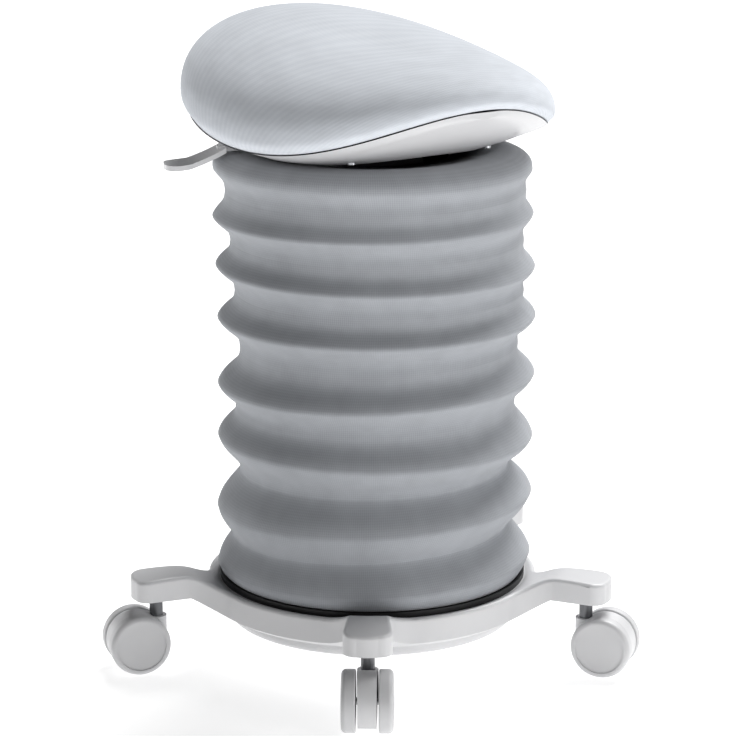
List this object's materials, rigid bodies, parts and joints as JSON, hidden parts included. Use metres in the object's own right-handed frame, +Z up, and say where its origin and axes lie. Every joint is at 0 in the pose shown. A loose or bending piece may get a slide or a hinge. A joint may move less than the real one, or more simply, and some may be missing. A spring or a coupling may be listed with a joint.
{
  "type": "wobble stool",
  "caption": "Height-adjustable wobble stool with a padded saddle seat on a tilting gas lift, a ringed fabric sleeve and a star base on swivelling twin-wheel casters.",
  "frame": {"origin": "on the floor under the middle of the base, on the column's axis", "axes": "+Z up along the column, -Y towards the picture's camera, +X to the picture's right"},
  "size_m": [0.4442, 0.4227, 0.5294],
  "materials": {
    "white_base_plastic": "fine satin moulded texture",
    "white_caster_plastic": "satin moulded",
    "white_wheel_plastic": "satin moulded",
    "white_shell_plastic": "smooth satin",
    "black_pan_plastic": "matt moulded",
    "black_clamp_plastic": "matt moulded",
    "zinc_steel": "bright zinc plate",
    "bright_steel": "ground",
    "grey_stem_steel": "dull grey plate",
    "black_painted_steel": "black powder coat",
    "chromed_steel": "polished",
    "black_rubber": "matt",
    "grey_sleeve_fabric": "fine stretch knit",
    "spring_wire": "drawn wire",
    "blue_grey_seat_fabric": "fine ribbed knit over foam",
    "white_lever_plastic": "satin moulded"
  },
  "bodies": {
    "base": {"star_base": "white_base_plastic", "underside_cover": "white_base_plastic", "cover_screws": "zinc_steel", "pivot_housing": "black_painted_steel", "housing_bolts": "zinc_steel", "housing_nuts": "zinc_steel", "sleeve_clamp_ring": "black_clamp_plastic", "stem_sleeves": "zinc_steel", "rubber_buffer": "black_rubber"},
    "gimbal": {"gimbal_ring": "black_painted_steel", "side_pivot_pins": "bright_steel"},
    "column": {"column_socket": "black_painted_steel", "fore_pivot_pins": "bright_steel", "outer_tube": "black_painted_steel", "guide_bush": "black_pan_plastic", "piston_rod": "bright_steel", "thrust_bearing": "zinc_steel", "rod_clip": "zinc_steel", "piston": "bright_steel", "bellows_sleeve": "grey_sleeve_fabric", "support_hoops": "spring_wire"},
    "lift_carrier": {"sleeve_carrier": "black_pan_plastic", "slip_bush": "black_pan_plastic"},
    "seat": {"gas_cylinder": "chromed_steel", "lift_collar": "zinc_steel", "seat_plate": "black_painted_steel", "plate_bolts": "zinc_steel", "seat_pan": "black_pan_plastic", "seat_shell": "white_shell_plastic", "shell_screws": "zinc_steel", "seat_cushion": "blue_grey_seat_fabric", "lever_pin": "bright_steel"},
    "button": {"release_button": "chromed_steel"},
    "lever": {"height_lever": "white_lever_plastic"},
    "caster_front": {"caster_stem_front": "grey_stem_steel", "caster_hood_front": "white_caster_plastic", "caster_axle_front": "bright_steel"},
    "wheel_front_left": {"caster_wheel_front_left": "white_wheel_plastic"},
    "wheel_front_right": {"caster_wheel_front_right": "white_wheel_plastic"},
    "caster_right_front": {"caster_stem_right_front": "grey_stem_steel", "caster_hood_right_front": "white_caster_plastic", "caster_axle_right_front": "bright_steel"},
    "wheel_right_front_left": {"caster_wheel_right_front_left": "white_wheel_plastic"},
    "wheel_right_front_right": {"caster_wheel_right_front_right": "white_wheel_plastic"},
    "caster_right_rear": {"caster_stem_right_rear": "grey_stem_steel", "caster_hood_right_rear": "white_caster_plastic", "caster_axle_right_rear": "bright_steel"},
    "wheel_right_rear_left": {"caster_wheel_right_rear_left": "white_wheel_plastic"},
    "wheel_right_rear_right": {"caster_wheel_right_rear_right": "white_wheel_plastic"},
    "caster_left_rear": {"caster_stem_left_rear": "grey_stem_steel", "caster_hood_left_rear": "white_caster_plastic", "caster_axle_left_rear": "bright_steel"},
    "wheel_left_rear_left": {"caster_wheel_left_rear_left": "white_wheel_plastic"},
    "wheel_left_rear_right": {"caster_wheel_left_rear_right": "white_wheel_plastic"},
    "caster_left_front": {"caster_stem_left_front": "grey_stem_steel", "caster_hood_left_front": "white_caster_plastic", "caster_axle_left_front": "bright_steel"},
    "wheel_left_front_left": {"caster_wheel_left_front_left": "white_wheel_plastic"},
    "wheel_left_front_right": {"caster_wheel_left_front_right": "white_wheel_plastic"}
  },
  "joints": [
    {"name": "tilt_side", "type": "hinge", "parent": "base", "child": "gimbal", "pos_m": [0, 0, 0.056], "axis": [1, 0, 0], "range_deg": [-8, 8], "stiffness_Nm_per_rad": 400, "deforming": ["rubber_buffer"]},
    {"name": "tilt_fore", "type": "hinge", "parent": "gimbal", "child": "column", "pos_m": [0, 0, 0.056], "axis": [0, 1, 0], "range_deg": [-8, 8], "stiffness_Nm_per_rad": 400},
    {"name": "height_lift", "type": "slide", "parent": "column", "child": "lift_carrier", "axis": [0, 0, 1], "range_m": [-0.08, 0.02], "deforming": ["bellows_sleeve", "support_hoops"]},
    {"name": "seat_swivel", "type": "hinge", "parent": "lift_carrier", "child": "seat", "pos_m": [0, 0, 0.44], "axis": [0, 0, 1], "continuous": true},
    {"name": "lever_pull", "type": "hinge", "parent": "seat", "child": "lever", "pos_m": [-0.03169, -0.00445, 0.4314], "axis": [-0.1392, 0.9903, 0], "range_deg": [0, 3.2], "stiffness_Nm_per_rad": 2},
    {"name": "button_press", "type": "slide", "parent": "seat", "child": "button", "axis": [0, 0, 1], "range_m": [-0.0019, 0]},
    {"name": "caster_swivel_front", "type": "hinge", "parent": "base", "child": "caster_front", "pos_m": [-0.00325, -0.18597, 0.06], "axis": [0, 0, 1], "continuous": true},
    {"name": "wheel_spin_front_left", "type": "hinge", "parent": "caster_front", "child": "wheel_front_left", "pos_m": [-0.00354, -0.20297, 0.025], "axis": [0.9998, -0.0175, 0], "continuous": true},
    {"name": "wheel_spin_front_right", "type": "hinge", "parent": "caster_front", "child": "wheel_front_right", "pos_m": [-0.00354, -0.20297, 0.025], "axis": [0.9998, -0.0175, 0], "continuous": true},
    {"name": "caster_swivel_right_front", "type": "hinge", "parent": "base", "child": "caster_right_front", "pos_m": [0.17587, -0.06056, 0.06], "axis": [0, 0, 1], "continuous": true},
    {"name": "wheel_spin_right_front_left", "type": "hinge", "parent": "caster_right_front", "child": "wheel_right_front_left", "pos_m": [0.19194, -0.06609, 0.025], "axis": [0.3256, 0.9455, 0], "continuous": true},
    {"name": "wheel_spin_right_front_right", "type": "hinge", "parent": "caster_right_front", "child": "wheel_right_front_right", "pos_m": [0.19194, -0.06609, 0.025], "axis": [0.3256, 0.9455, 0], "continuous": true},
    {"name": "caster_swivel_right_rear", "type": "hinge", "parent": "base", "child": "caster_right_rear", "pos_m": [0.11194, 0.14855, 0.06], "axis": [0, 0, 1], "continuous": true},
    {"name": "wheel_spin_right_rear_left", "type": "hinge", "parent": "caster_right_rear", "child": "wheel_right_rear_left", "pos_m": [0.11194, 0.16555, 0.025], "axis": [-1, 0, 0], "continuous": true},
    {"name": "wheel_spin_right_rear_right", "type": "hinge", "parent": "caster_right_rear", "child": "wheel_right_rear_right", "pos_m": [0.11194, 0.16555, 0.025], "axis": [-1, 0, 0], "continuous": true},
    {"name": "caster_swivel_left_rear", "type": "hinge", "parent": "base", "child": "caster_left_rear", "pos_m": [-0.10669, 0.15236, 0.06], "axis": [0, 0, 1], "continuous": true},
    {"name": "wheel_spin_left_rear_left", "type": "hinge", "parent": "caster_left_rear", "child": "wheel_left_rear_left", "pos_m": [-0.10669, 0.16936, 0.025], "axis": [-1, 0, 0], "continuous": true},
    {"name": "wheel_spin_left_rear_right", "type": "hinge", "parent": "caster_left_rear", "child": "wheel_left_rear_right", "pos_m": [-0.10669, 0.16936, 0.025], "axis": [-1, 0, 0], "continuous": true},
    {"name": "caster_swivel_left_front", "type": "hinge", "parent": "base", "child": "caster_left_front", "pos_m": [-0.17787, -0.05438, 0.06], "axis": [0, 0, 1], "continuous": true},
    {"name": "wheel_spin_left_front_left", "type": "hinge", "parent": "caster_left_front", "child": "wheel_left_front_left", "pos_m": [-0.19413, -0.05935, 0.025], "axis": [0.2924, -0.9563, 0], "continuous": true},
    {"name": "wheel_spin_left_front_right", "type": "hinge", "parent": "caster_left_front", "child": "wheel_left_front_right", "pos_m": [-0.19413, -0.05935, 0.025], "axis": [0.2924, -0.9563, 0], "continuous": true}
  ],
  "couplings": [
    {"joint": "button_press", "follows": "lever_pull", "m_per_rad": -0.032}
  ]
}
